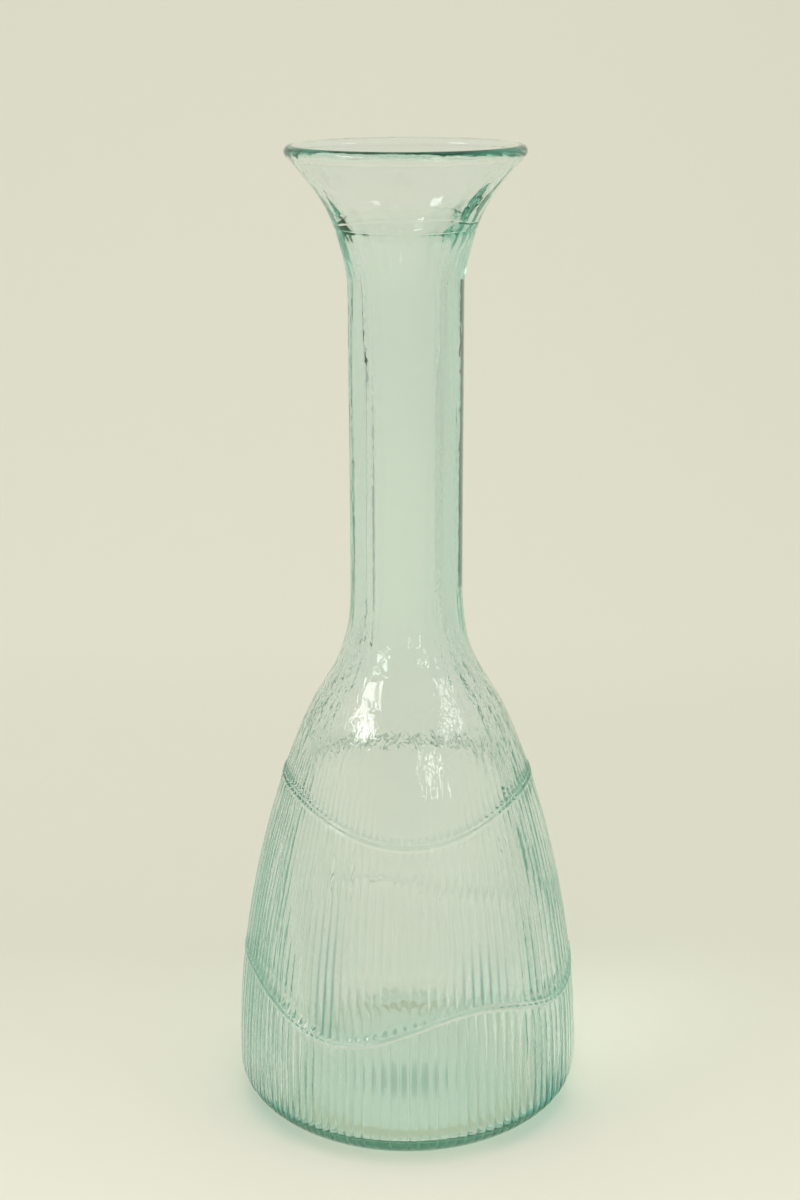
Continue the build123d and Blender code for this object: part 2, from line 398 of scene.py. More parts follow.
@dataclass
class GlassRelief:
    """Fine relief of the glass: ribs of uneven strength, mould seams, streaks and an uneven inside, and masks
    of painted shade.
    """

    shape: VaseShape
    seam_angle: float = math.radians(-36.0)
    seam_relief: float = 0.14 * MM
    seam_width: float = 0.45 * MM
    rib_strengths: Pair = (1.0, 0.5)
    rib_power: float = 2.5
    groove_strengths: Pair = (0.3, 1.0)
    groove_power: int = 4
    wear_fade: float = 0.85
    # painted shade strengths: of the dark teal lines and heel patches, and of the dashes at the ridges
    dust_strength: float = 1.8
    shade_dash_strength: float = 0.4
    # painted shade: a dark patch under the front of the base
    base_shade_radius: float = 11.0 * MM
    base_shade_strength: float = 0.55
    base_shade_forward: float = 13.0 * MM
    base_shade_power: int = 4
    floor_fall: float = 4.4 * MM
    fall_fade: float = 14.0 * MM
    # painted shade: dark teal lines in the rib valleys at these angles, starting at the lower ridge
    dusty: tuple[ShadeSpot, ...] = (
        ShadeSpot(27.0, 9.0, 24.0 * MM),
        ShadeSpot(-29.0, 5.0, 60.0 * MM),
    )
    # painted shade: dark teal patches low on the heel, over ribs and valleys
    dusty_heel: tuple[ShadeSpot, ...] = (
        ShadeSpot(62.0, 12.0, 28.0 * MM, 1.3),
        ShadeSpot(45.0, 16.0, 18.0 * MM, 1.0),
        ShadeSpot(-58.0, 25.0, 20.0 * MM, 1.2),
    )
    heel_start: float = 1.0 * MM
    inside_aside: float = 0.6 * MM
    inside_low_fade: float = 12.0 * MM
    inside_high_fade: Pair = (3.0 * MM, 12.0 * MM)
    seed: int = 7
    neck_streak_fade: float = 0.7
    streaks: WaveField = WaveField(0.045 * MM, (18, 85), (0.0, 0.35), 11)
    slow_waves: WaveField = WaveField(0.16 * MM, (1, 6), (0.01, 0.12), 23)
    folds: WaveField = WaveField(0.06 * MM, (8, 26), (0.0, 0.05), 31)
    pools: tuple[Pool, ...] = (
        Pool(70.0, 312.0 * MM, 20.0, 4.0 * MM, 1.0 * MM),
        Pool(95.0, 300.0 * MM, 40.0, 9.0 * MM, 1.6 * MM),
        Pool(-85.0, 300.0 * MM, 40.0, 10.0 * MM, -0.8 * MM),
        Pool(150.0, 309.0 * MM, 30.0, 6.0 * MM, 0.5 * MM),
        Pool(-82.0, 40.0 * MM, 34.0, 40.0 * MM, 3.4 * MM),
        Pool(78.0, 98.0 * MM, 26.0, 28.0 * MM, 1.2 * MM),
    )

    def crest(self, turn: Array) -> Array:
        """Place across a rib, from 0 in a valley to 1 on the crest: |cos(count * turn / 2)|."""
        return np.abs(np.cos(self.shape.rib_count * turn / 2))

    def strength(self, turn: Array, span: Pair, seed: int, shift: float) -> Array:
        """Strength of each rib or valley: first + (second - first) * an even random draw of its own.

        Args:
            turn: even positions round the vase, before crowding, in radians.
            span: first and second end of the strengths.
            seed: seed of the draws.
            shift: where the counting starts, in ribs.

        Returns:
            Strengths of the same shape.
        """
        count = self.shape.rib_count
        strengths = span[0] + (span[1] - span[0]) * np.random.default_rng(seed).random(count)
        return strengths[np.floor(turn / TURN * count + shift).astype(int) % count]

    def rib(self, turn: Array) -> Array:
        """Height in rib depths, broad between narrow valleys: strength * (1 - (1 - crest)^power) - 0.5."""
        strength = self.strength(turn, self.rib_strengths, self.seed, shift=0.5)
        return strength * (1.0 - (1.0 - self.crest(turn)) ** self.rib_power) - 0.5

    def groove(self, turn: Array) -> Array:
        """Mask of the valleys, from 0 on a rib to 1 in the strongest: strength * (1 - crest)^power."""
        strength = self.strength(turn, self.groove_strengths, self.seed + 1, shift=0.0)
        return strength * (1.0 - self.crest(turn)) ** self.groove_power

    def wear(self, turn: Array, angle: Array, height: Array) -> Array:
        """Mask of the worn, hazy valleys: full under the lower ridge and faint above it."""
        above = ramp((height - self.shape.lower_ridge.height(angle)) / self.shape.ridge_width, -0.5, 0.5)
        return self.groove(turn) * (1.0 - self.wear_fade * above)

    def dust(self, turn: Array, angle: Array, height: Array) -> Array:
        """Mask of painted shade on stretches that start at the lower ridge or low on the heel.

        Args:
            turn: even positions round the vase, before crowding, in radians.
            angle: angles round the vase, in radians.
            height: heights, in metres.

        Returns:
            Values from 0 to 1.
        """
        starts = (self.shape.lower_ridge.height(angle), self.heel_start)
        valleys = np.sqrt(self.groove(turn))
        total = np.zeros_like(height)
        for start, spots in zip(starts, (self.dusty, self.dusty_heel)):
            for spot in spots:
                total += spot.amount(valleys, angle, height - start)
        return np.clip(self.dust_strength * total, 0.0, 1.0)

    def base_shade(self, angle: Array, radius: Array) -> Array:
        """Mask of the painted shade under the front of the base: strength * exp(-(distance / size)^power)."""
        away = np.hypot(radius * np.sin(angle), self.base_shade_forward - radius * np.cos(angle))
        return self.base_shade_strength * np.exp(-((away / self.base_shade_radius) ** self.base_shade_power))

    def seam(self, angle: Array, radius: Array) -> Array:
        """Two upright mould seams half a turn apart, in metres: each a narrow bell curve across the seam."""
        away = np.abs(np.mod(angle - self.seam_angle + math.pi / 2, math.pi) - math.pi / 2) * radius
        return self.seam_relief * bell(away, self.seam_width)

    def streak(self, angle: Array, height: Array) -> Array:
        """Upright streaks on the smooth outside, in metres: full on the shoulder and faint on the neck."""
        fade = 1.0 - self.neck_streak_fade * ramp(height, self.shape.body_top, self.shape.neck_foot)
        return fade * self.streaks.relief(angle, height)

    def inside(self, angle: Array, height: Array) -> Array:
        """Change of the inner radius: slow waves, upright folds, pools, and a hollow that sits aside to -X.

        All of it fades out at the floor and at the lip.

        Args:
            angle: angles round the vase, in radians.
            height: heights, in metres.

        Returns:
            Change in metres.
        """
        floor, top = self.shape.floor_top, self.shape.top
        low = ramp(height, floor, floor + self.inside_low_fade)
        high = ramp(top - height, *self.inside_high_fade)
        change = self.slow_waves.relief(angle, height) + self.folds.relief(angle, height)
        change -= self.inside_aside * np.sin(angle)
        for pool in self.pools:
            change -= pool.relief(angle, height)
        return low * high * change

    def sink(self, angle: Array, radius: Array, height: Array) -> Array:
        """Fall of the floor, faded up the wall: full fall * (1 + y / body radius) / 2, y to the back."""
        fade = ramp(height - self.shape.floor_top, self.fall_fade, 0.0)
        return fade * self.floor_fall * (1.0 - radius * np.cos(angle) / self.shape.body_radius) / 2


class RingStack:
    """Closed surface made of rings from one pole to the other, with fine and coarse stretches joined."""

    def __init__(self) -> None:
        """Starts an empty stack."""
        self.rings: list[Array] = []
        # the second mask holds painted shade for the glass's base colour
        self.masks: dict[str, list[Array]] = {"wear": [], "dust": []}

    def add(self, radius: Array, angle: Array, height: Array, **masks: Array) -> None:
        """Adds rows of rings: each point is (radius sin angle, -radius cos angle, height).

        Args:
            radius: radii, rows by columns.
            angle: angles of the columns, in radians.
            height: heights, rows by columns.
            masks: values of the named masks, rows by columns. A mask that isn't given is 0 there.
        """
        radius, height = np.broadcast_arrays(radius, height)
        points = np.stack([radius * np.sin(angle), -radius * np.cos(angle), height], axis=-1)
        self.rings.extend(points)
        for name, rows in self.masks.items():
            rows.extend(np.broadcast_to(masks.get(name, 0.0), height.shape))

    @classmethod
    def strip(cls, low: Array, high: Array) -> list[Array]:
        """Faces between two neighbouring rings of vertex numbers.

        Equal rings give quads. Where one ring has three times the other's vertices, each coarse step takes
        two triangles and a quad.

        Args:
            low: vertex numbers of the first ring.
            high: vertex numbers of the second ring.

        Returns:
            Arrays of faces, each with one face per row.
        """
        if len(low) < len(high):
            return [block[:, ::-1] for block in cls.strip(high, low)]
        high_next = np.roll(high, -1)
        if len(low) == len(high):
            return [np.stack([low, np.roll(low, -1), high_next, high], axis=1)]
        a, b, c, d = low[0::3], low[1::3], low[2::3], np.roll(low[0::3], -1)
        faces = ([a, b, high], [b, c, high_next, high], [c, d, high_next])
        return [np.stack(corners, axis=1) for corners in faces]

    def mesh(self, name: str, pole_heights: Pair) -> bpy.types.Mesh:
        """Makes the mesh, closed at both poles by fans.

        Args:
            name: name of the mesh.
            pole_heights: heights of the first and the last pole on the axis.

        Returns:
            The mesh, smooth shaded.
        """
        counts = np.array([len(ring) for ring in self.rings])
        starts = np.concatenate([[0], np.cumsum(counts)])
        numbers = [np.arange(start, start + count) for start, count in zip(starts[:-1], counts)]
        poles = np.array([[0.0, 0.0, z] for z in pole_heights])
        points = np.concatenate([*self.rings, poles])
        first, last = int(starts[-1]), int(starts[-1]) + 1
        faces: list[list[int]] = []
        for low, high in zip(numbers[:-1], numbers[1:]):
            for block in self.strip(low, high):
                faces.extend(block.tolist())
        begin, finish = numbers[0], numbers[-1]
        faces.extend(np.stack([np.full_like(begin, first), np.roll(begin, -1), begin], axis=1).tolist())
        faces.extend(np.stack([np.full_like(finish, last), finish, np.roll(finish, -1)], axis=1).tolist())
        mesh = smooth_mesh(name, points, faces)
        for mask, rows in self.masks.items():
            values = np.concatenate([*rows, np.zeros(len(poles))]).astype(np.float32)
            mesh.attributes.new(mask, "FLOAT", "POINT").data.foreach_set("value", values)
        mesh.update()
        return mesh


@dataclass(frozen=True)
class RidgeCut:
    """Cut across a ridge, where d runs from -1 at its lower edge to 1 at its upper edge.

    The band rises and falls by half a cosine wave each. The ribs stop below it and above it. The beads and
    the dashes of painted shade are bell curves, given by their middle d and their half width.
    """

    rows: tuple[float, ...] = (-1.0, -0.8, -0.6, -0.4, -0.2, -0.05, 0.08, 0.2, 0.32, 0.5, 0.7, 0.8, 0.9, 1.0)
    rise: Pair = (-0.8, -0.05)
    fall: Pair = (-0.05, 0.3)
    ribs_below: Pair = (-0.8, -1.0)
    ribs_above: Pair = (0.7, 0.95)
    bead: Pair = (0.85, 0.12)
    dash: Pair = (0.66, 0.1)


@dataclass(frozen=True)
class RingCounts:
    """How many rings run along each smooth stretch, and the shares of a stretch where its end rows lie."""

    underside: int = 15
    shoulder: int = 22
    neck: int = 8
    collar: int = 11
    mouth: int = 17
    lip: int = 22
    inner_curve: int = 16
    inner_collar: int = 6
    inner_body: int = 22
    corner: int = 9
    floor: int = 8
    underside_start: float = 0.06
    floor_end: float = 0.12
    collar_end: Pair = (0.92, 0.975)
    mouth_start: Pair = (0.015, 0.05)
    inner_collar_span: Pair = (11 / 15, 1 / 15)


@dataclass
class GlassVase:
    """The vase's glass as one closed surface with its relief and its finish."""

    shape: VaseShape
    relief: GlassRelief
    stack: RingStack = field(default_factory=RingStack)
    cut: RidgeCut = RidgeCut()
    rows: RingCounts = RingCounts()
    fine_steps: tuple[float, ...] = (-0.5, -0.42, -0.22, 0.0, 0.22, 0.42)
    coarse_steps: tuple[float, ...] = (-0.5, 0.0)
    heel_turns: tuple[float, ...] = (0, 14, 26, 36, 44, 50, 53, 56, 59, 63, 70, 80)
    scallop_turns: Pair = (50.0, 59.0)
    low_band: tuple[float, float, int] = (1.2, 1.2, 8)
    middle_band: tuple[float, float, int] = (1.0, 0.3, 17)
    high_band: tuple[float, float, int] = (0.7, 0.0, 10)
    high_band_power: float = 1.2
    ring_ledge: tuple[Pair, ...] = ((-0.15 * MM, -0.12 * MM), (0.42 * MM, 0.0), (0.45 * MM, 0.15 * MM))
    name: str = "vase_glass"

    def turns(self, fine: bool) -> Array:
        """Positions of the columns round the vase before crowding, in radians.

        Args:
            fine: True for the ribbed stretch, which has three times the columns, close beside each valley.

        Returns:
            Array of positions.
        """
        steps = np.array(self.fine_steps if fine else self.coarse_steps)
        ribs = np.arange(self.shape.rib_count)[:, None]
        return ((ribs + steps) * TURN / self.shape.rib_count).ravel()

    def angles(self, fine: bool) -> Array:
        """Angles of the columns, crowded towards -X: turn - crowding * cos(turn)."""
        turn = self.turns(fine)
        return turn - self.shape.rib_crowding * np.cos(turn)

    def curves(self, side: Wall, shares: dict[Zone, Array]) -> list[Array]:
        """Points of some zones' outlines, at the given shares of each."""
        return [self.shape.outline(zone, side).at(share) for zone, share in shares.items()]

    def add_curve(self, points: Array, side: Wall, seamed: bool = False) -> None:
        """Adds plain rings along (radius, height) points, with seams and streaks outside, unevenness inside.

        Args:
            points: array of (radius, height).
            side: outside or inside of the wall.
            seamed: True where the mould seams run.
        """
        angle = self.angles(fine=False)
        radius, height = (column + 0.0 * angle for column in (points[:, :1], points[:, 1:]))
        if seamed:
            radius = radius + self.relief.seam(angle, radius) + self.relief.streak(angle, height)
        if side is Wall.INSIDE:
            radius = radius + self.relief.inside(angle, height)
            height = height - self.relief.sink(angle, radius, height)
        self.stack.add(radius, angle, height)

    def add_underside(self) -> None:
        """Adds the shallow dome of the push-up, with a patch of painted shade towards its front, out to the
        flat foot ring.
        """
        shape, angle = self.shape, self.angles(fine=False)
        share = np.linspace(self.rows.underside_start, 1.0, self.rows.underside)[:, None]
        radius = share * shape.base_radius + 0.0 * angle
        height = shape.push_up * (1.0 - (radius / shape.base_radius) ** 2)
        self.stack.add(radius, angle, height, dust=self.relief.base_shade(angle, radius))

    def add_heel(self) -> None:
        """Adds the elliptic heel: ribs end in scallops above the foot, and the painted shade goes on below
        them.
        """
        shape, angle = self.shape, self.angles(fine=True)
        degrees = np.array(self.heel_turns)[:, None]
        turn = np.radians(degrees)
        radius = shape.foot_radius + (shape.body_radius - shape.foot_radius) * np.sin(turn)
        height = shape.body_foot * (1.0 - np.cos(turn)) + 0.0 * angle
        share = ramp(degrees, *self.scallop_turns)
        below = (1.0 - share) * self.relief.dust(self.turns(fine=True), angle, height)
        self.add_ribbed(radius, height, share, below)

    def add_ribbed(self, radius: Array, height: Array, share: Array, dust: Array | float = 0.0) -> None:
        """Adds rings that carry ribs and seams, inside the CAD model's widest radius.

        Args:
            radius: mean radii, rows by columns or rows by one.
            height: heights, alike.
            share: share of the rib depth, alike.
            dust: painted shade besides that of the ribs, alike.
        """
        shape, relief = self.shape, self.relief
        turn, angle = self.turns(fine=True), self.angles(fine=True)
        height = height + 0.0 * angle
        streak = ramp(height, shape.body_foot, shape.body_top) ** 2 * relief.streak(angle, height)
        full = radius + share * relief.rib(turn) * shape.rib_depth + relief.seam(angle, radius) + streak
        full = np.minimum(full, shape.body_radius + shape.rib_depth / 2)
        # the second mask here is painted shade
        wear, rib_shade = (share * mask(turn, angle, height) for mask in (relief.wear, relief.dust))
        self.stack.add(full, angle, height, wear=wear, dust=rib_shade + dust)

    def add_ridge(self, ridge: WavyRidge) -> None:
        """Adds a wavy ridge: a smooth round band, and above it the rib ends as a row of beads.

        All of it is fainter at the back, by the ridge's own share, the dashes of painted shade too.

        Args:
            ridge: line that the ridge follows.
        """
        shape, cut = self.shape, self.cut
        across = np.array(cut.rows)[:, None]
        angle, crests = self.angles(fine=True), self.relief.crest(self.turns(fine=True)) ** 2
        height = ridge.height(angle) + across * shape.ridge_width / 2
        falling, rising = (np.cos(math.pi * ramp(across, *span)) for span in (cut.fall, cut.rise))
        band = (falling - rising) / 2
        ribs = ramp(across, *cut.ribs_above) + ramp(across, *cut.ribs_below)
        beads, shade_dashes = (bell(across - middle, width) * crests for middle, width in (cut.bead, cut.dash))
        strength = ridge.strength(angle)
        relief = strength * (band * shape.ridge_relief + beads * shape.bead_relief)
        radius = shape.outline(Zone.BODY, Wall.OUTSIDE).radius_at(height) + relief
        # the dashes of painted shade go on as dark teal in the glass's base colour
        self.add_ribbed(radius, height, ribs, strength * self.relief.shade_dash_strength * shade_dashes)

    def add_band(self, low: Array, high: Array, shares: Array) -> None:
        """Adds a ribbed band between two lines round the body, by even steps from one to the other.

        Args:
            low: heights of the lower line at each column.
            high: heights of the upper line at each column.
            shares: share of the rib depth on each row. Both end rows belong to the neighbours.
        """
        step = np.linspace(0.0, 1.0, len(shares) + 2)[1:-1, None]
        height = (1.0 - step) * low + step * high
        radius = self.shape.outline(Zone.BODY, Wall.OUTSIDE).radius_at(height)
        self.add_ribbed(radius, height, shares[:, None])

    def add_body(self) -> None:
        """Adds the three ribbed bands and the two ridges between them, from the heel to the shoulder."""
        shape = self.shape
        angle = self.angles(fine=True)
        edge = shape.ridge_width / 2
        lower, upper = shape.lower_ridge.height(angle), shape.upper_ridge.height(angle)
        foot, top = np.full_like(angle, shape.body_foot), np.full_like(angle, shape.body_top)
        self.add_band(foot, lower - edge, np.linspace(*self.low_band))
        self.add_ridge(shape.lower_ridge)
        self.add_band(lower + edge, upper - edge, np.linspace(*self.middle_band))
        self.add_ridge(shape.upper_ridge)
        self.add_band(upper + edge, top, np.linspace(*self.high_band) ** self.high_band_power)

    def add_outside_top(self) -> None:
        """Adds the smooth outside from the shoulder to the lip, with the fine step of the neck-ring line."""
        shape, rows = self.shape, self.rows
        shares = {
            Zone.SHOULDER: np.linspace(0.0, 1.0, rows.shoulder),
            Zone.COLLAR: np.append(np.linspace(0.0, rows.collar_end[0], rows.collar), rows.collar_end[1]),
            Zone.MOUTH: np.append(rows.mouth_start[0], np.linspace(rows.mouth_start[1], 1.0, rows.mouth)),
        }
        shoulder, collar, mouth = self.curves(Wall.OUTSIDE, shares)
        neck = np.linspace(shoulder[-1], (shape.neck_radius, shape.neck_top), rows.neck)[1:-1]
        ledge = np.array([[shape.collar_radius, shape.neck_ring]]) + np.array(self.ring_ledge)
        self.add_curve(np.concatenate([shoulder, neck, collar]), Wall.OUTSIDE, seamed=True)
        self.add_curve(np.concatenate([ledge, mouth]), Wall.OUTSIDE)

    def add_lip(self) -> None:
        """Adds the round bead of the lip, from the wall's edge outside to its edge inside."""
        edges = (self.shape.lip_edge(side) for side in (Wall.OUTSIDE, Wall.INSIDE))
        self.add_curve(self.shape.lip(np.linspace(*edges, self.rows.lip))[1:-1], Wall.OUTSIDE)

    def add_inside(self) -> None:
        """Adds the inside from the lip down the bore to the rounded corner and the domed floor."""
        shape, rows = self.shape, self.rows
        down = np.linspace(1.0, 0.0, rows.inner_curve)
        shares = {
            Zone.MOUTH: down,
            Zone.COLLAR: np.linspace(*rows.inner_collar_span, rows.inner_collar),
            Zone.SHOULDER: down,
            Zone.BODY: np.linspace(1.0, 0.0, rows.inner_body)[1:],
        }
        mouth, collar, shoulder, body = self.curves(Wall.INSIDE, shares)
        bore = (shape.neck_radius - shape.neck_wall, shape.neck_foot)
        neck = np.linspace(collar[-1], bore, rows.neck)[1:-1]
        turn = np.linspace(0.0, math.pi / 2, rows.corner)[1:]
        corner = body[-1] - shape.inner_heel_radius * np.stack([1.0 - np.cos(turn), np.sin(turn)], axis=1)
        share = np.linspace(1.0, rows.floor_end, rows.floor)
        dome = shape.base_thickness + shape.push_up * (1.0 - share**2)
        floor = np.stack([share * shape.base_radius, dome], axis=1)
        self.add_curve(mouth[:1], Wall.OUTSIDE)
        wall = np.concatenate([mouth[1:], collar, neck, shoulder, body, corner, floor])
        self.add_curve(wall, Wall.INSIDE)

    def build(self, glass: "AquaGlass") -> bpy.types.Object:
        """Makes the vase, dresses it and hands it to the frame.

        Args:
            glass: finish of the glass.

        Returns:
            The vase's object.
        """
        self.add_underside()
        self.add_heel()
        self.add_body()
        self.add_outside_top()
        self.add_lip()
        self.add_inside()
        floor = self.shape.floor_top - self.relief.floor_fall / 2
        mesh = self.stack.mesh(self.name, (self.shape.push_up, floor))
        mesh.materials.append(glass.material())
        vase = add_object(self.name, mesh)
        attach(vase, "root")
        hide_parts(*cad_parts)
        return vase


def smooth_mesh(name: str, points: Array, faces: list[list[int]]) -> bpy.types.Mesh:
    """Makes a smooth shaded mesh.

    Args:
        name: name of the mesh.
        points: its points, one per row.
        faces: vertex numbers of each face.

    Returns:
        The mesh.
    """
    mesh = bpy.data.meshes.new(name)
    mesh.from_pydata(points.tolist(), [], faces)
    mesh.polygons.foreach_set("use_smooth", np.ones(len(mesh.polygons), dtype=bool))
    return mesh


def add_object(name: str, data: bpy.types.ID) -> bpy.types.Object:
    """Makes an object and puts it into the scene.

    Args:
        name: name of the object.
        data: its mesh, lamp or camera.

    Returns:
        The object.
    """
    item = bpy.data.objects.new(name, data)
    bpy.context.scene.collection.objects.link(item)
    return item


def opaque(colour: Triple) -> tuple[float, float, float, float]:
    """Colour with full cover, as a node takes it."""
    return (*colour, 1.0)


@dataclass(frozen=True)
class NodeKit:
    """Short ways to add nodes to a tree. An input takes a plain value, or the output of another node."""

    tree: bpy.types.NodeTree

    def feed(self, node: bpy.types.Node, inputs: Inputs) -> None:
        """Sets or links some inputs of a node.

        Args:
            node: the node.
            inputs: what feeds each input, by its name or number.
        """
        for key, source in inputs.items():
            if isinstance(source, bpy.types.NodeSocket):
                self.tree.links.new(source, node.inputs[key])
            else:
                node.inputs[key].default_value = source

    def add(self, kind: str, inputs: Inputs | None = None, **settings: object) -> bpy.types.Node:
        """Adds a node.

        Args:
            kind: type of the node, without the prefix that shader nodes share.
            inputs: what feeds each input, by its name or number.
            settings: settings of the node itself, made before its inputs.

        Returns:
            The node.
        """
        node = self.tree.nodes.new("ShaderNode" + kind)
        for name, value in settings.items():
            setattr(node, name, value)
        self.feed(node, inputs or {})
        return node

    def maths(self, operation: str, *inputs: Source) -> bpy.types.NodeSocket:
        """Adds a Math node and gives its output."""
        return self.add("Math", dict(enumerate(inputs)), operation=operation).outputs["Value"]

    def span(self, value: Source, lows: Pair, highs: Pair) -> bpy.types.NodeSocket:
        """Adds a Map Range node from one range of a value to another and gives its output."""
        ends = dict(zip(("From Min", "From Max", "To Min", "To Max"), (*lows, *highs)))
        return self.add("MapRange", {"Value": value, **ends}).outputs["Result"]

    def noise(self, place: Source, scale: Source, detail: float) -> bpy.types.NodeSocket:
        """Adds a Noise Texture node and gives its value."""
        return self.add("TexNoise", {"Vector": place, "Scale": scale, "Detail": detail}).outputs["Fac"]

    def parts(self, place: str) -> bpy.types.NodeOutputs:
        """Adds the X, Y and Z of a kind of coordinates and gives these outputs."""
        vector = self.add("TexCoord").outputs[place]
        return self.add("SeparateXYZ", {"Vector": vector}).outputs

    def mix_colours(self, factor: Source, first: Source, second: Source) -> bpy.types.NodeSocket:
        """Adds a Mix node for two colours and gives its output."""
        inputs = {"Factor": factor, "A": first, "B": second}
        return self.add("Mix", inputs, data_type="RGBA").outputs["Result"]

    def mix_shaders(self, factor: Source, first: Source, second: Source) -> bpy.types.NodeSocket:
        """Adds a Mix Shader node and gives its output."""
        return self.add("MixShader", {"Fac": factor, 1: first, 2: second}).outputs["Shader"]


def new_material(name: str) -> tuple[bpy.types.Material, NodeKit, bpy.types.Node, bpy.types.Node]:
    """Makes a material.

    Args:
        name: name of the material.
    """
    material = bpy.data.materials.new(name)
    material.use_nodes = True
    nodes = material.node_tree.nodes
    return material, NodeKit(material.node_tree), nodes["Principled BSDF"], nodes["Material Output"]


@dataclass(frozen=True)
class GlassSkin:
    """Skin of moulded glass: slow ripples, fine chill marks, and upright streaks on the shoulder."""

    name: str = "glass_skin"
    ripple_detail: float = 1.0
    mark_detail: float = 3.0
    mark_share: float = 0.07
    streak_detail: float = 2.0
    streak_stretch: Triple = (1.0, 1.0, 0.12)
    streak_rise: tuple[Pair, Pair] = ((0.122, 0.142), (0.04, 1.0))
    streak_fall: tuple[Pair, Pair] = ((0.158, 0.196), (5.0, 0.1))
    haze: tuple[Pair, Pair] = ((0.45, 0.75), (0.0, 0.05))

    def group(self) -> bpy.types.NodeTree:
        """Builds the node group: height = ripples + share * marks + shown * streaks, and haze from the marks.

        Returns:
            The group, with a Height for a bump and a Haze for the roughness.
        """
        tree = bpy.data.node_groups.new(self.name, "ShaderNodeTree")
        sockets = {"INPUT": ("Ripple Scale", "Mark Scale", "Streak Scale"), "OUTPUT": ("Height", "Haze")}
        for way, names in sockets.items():
            for name in names:
                tree.interface.new_socket(name, in_out=way, socket_type="NodeSocketFloat")
        kit = NodeKit(tree)
        scales, leave = tree.nodes.new("NodeGroupInput").outputs, tree.nodes.new("NodeGroupOutput")
        place = kit.add("TexCoord").outputs["Object"]
        ripple = kit.noise(place, scales["Ripple Scale"], self.ripple_detail)
        marks = kit.noise(place, scales["Mark Scale"], self.mark_detail)
        drawn = kit.add("Mapping", {"Vector": place, "Scale": self.streak_stretch}).outputs["Vector"]
        streaks = kit.noise(drawn, scales["Streak Scale"], self.streak_detail)
        level = kit.parts("Object")["Z"]
        shown = kit.maths("MULTIPLY", kit.span(level, *self.streak_rise), kit.span(level, *self.streak_fall))
        smooth = kit.maths("MULTIPLY_ADD", marks, self.mark_share, ripple)
        height = kit.maths("MULTIPLY_ADD", streaks, shown, smooth)
        kit.feed(leave, {"Height": height, "Haze": kit.span(marks, *self.haze)})
        return tree


@dataclass(frozen=True)
class AquaGlass:
    """Pale aqua glass: clear where it is thin, teal where light runs a long way through it."""

    ior: float = 1.51
    absorbed: Triple = (0.55, 0.84, 0.775)
    density: float = 38.0
    ripple_scale: float = 230.0
    mark_scale: float = 420.0
    streak_scale: float = 480.0
    bump: float = 0.1
    bump_depth: float = 1.0 * MM
    wear_haze: float = 0.45
    clean_tone: Triple = (1.0, 1.0, 1.0)
    # colour of the painted shade: dark teal
    dust_tone: Triple = (0.02, 0.34, 0.32)
    lamp_tint: Triple = (0.99, 0.994, 0.988)

    def material(self) -> bpy.types.Material:
        """Builds the material: refracting glass over an absorbing volume, which lets lamps through, with
        painted dark teal shade in its base colour.

        Returns:
            The material.
        """
        material, kit, shader, output = new_material("aqua_glass")
        skin = kit.add("Group", node_tree=GlassSkin().group())
        scales = (self.ripple_scale, self.mark_scale, self.streak_scale)
        kit.feed(skin, dict(zip(("Ripple Scale", "Mark Scale", "Streak Scale"), scales)))
        relief = {"Strength": self.bump, "Distance": self.bump_depth, "Height": skin.outputs["Height"]}
        wear, dust = (kit.add("Attribute", attribute_name=name).outputs["Fac"] for name in ("wear", "dust"))
        looks = {
            "IOR": self.ior,
            "Transmission Weight": 1.0,
            "Normal": kit.add("Bump", relief).outputs["Normal"],
            "Roughness": kit.maths("MULTIPLY_ADD", wear, self.wear_haze, skin.outputs["Haze"]),
            # Base Color: clear glass, mixed towards painted dark teal shade by the second mask attribute
            "Base Color": kit.mix_colours(dust, opaque(self.clean_tone), opaque(self.dust_tone)),
        }
        kit.feed(shader, looks)
        shadow = kit.add("LightPath").outputs["Is Shadow Ray"]
        clear = kit.add("BsdfTransparent", {"Color": opaque(self.lamp_tint)}).outputs["BSDF"]
        volume = kit.add("VolumeAbsorption", {"Color": opaque(self.absorbed), "Density": self.density})
        surface = kit.mix_shaders(shadow, shader.outputs["BSDF"], clear)
        kit.feed(output, {"Surface": surface, "Volume": volume.outputs["Volume"]})
        return material


@dataclass(frozen=True)
class SoftLamp:
    """Soft oval lamp that faces the middle of the vase. Where it is mirrored, the glass shows it."""

    name: str
    place: Triple
    size: Pair
    power: float
    mirrored: bool = True

    def build(self) -> None:
        """Puts the lamp into the scene."""
        data = bpy.data.lights.new(self.name, "AREA")
        data.shape = "ELLIPSE"
        data.size, data.size_y = self.size
        data.energy = self.power
        lamp = add_object(self.name, data)
        lamp.location = self.place
        middle = (CAD_BOX[0] + CAD_BOX[1]) / 2
        lamp.rotation_euler = (middle - lamp.location).to_track_quat("-Z", "Y").to_euler()
        lamp.visible_glossy = lamp.visible_transmission = self.mirrored


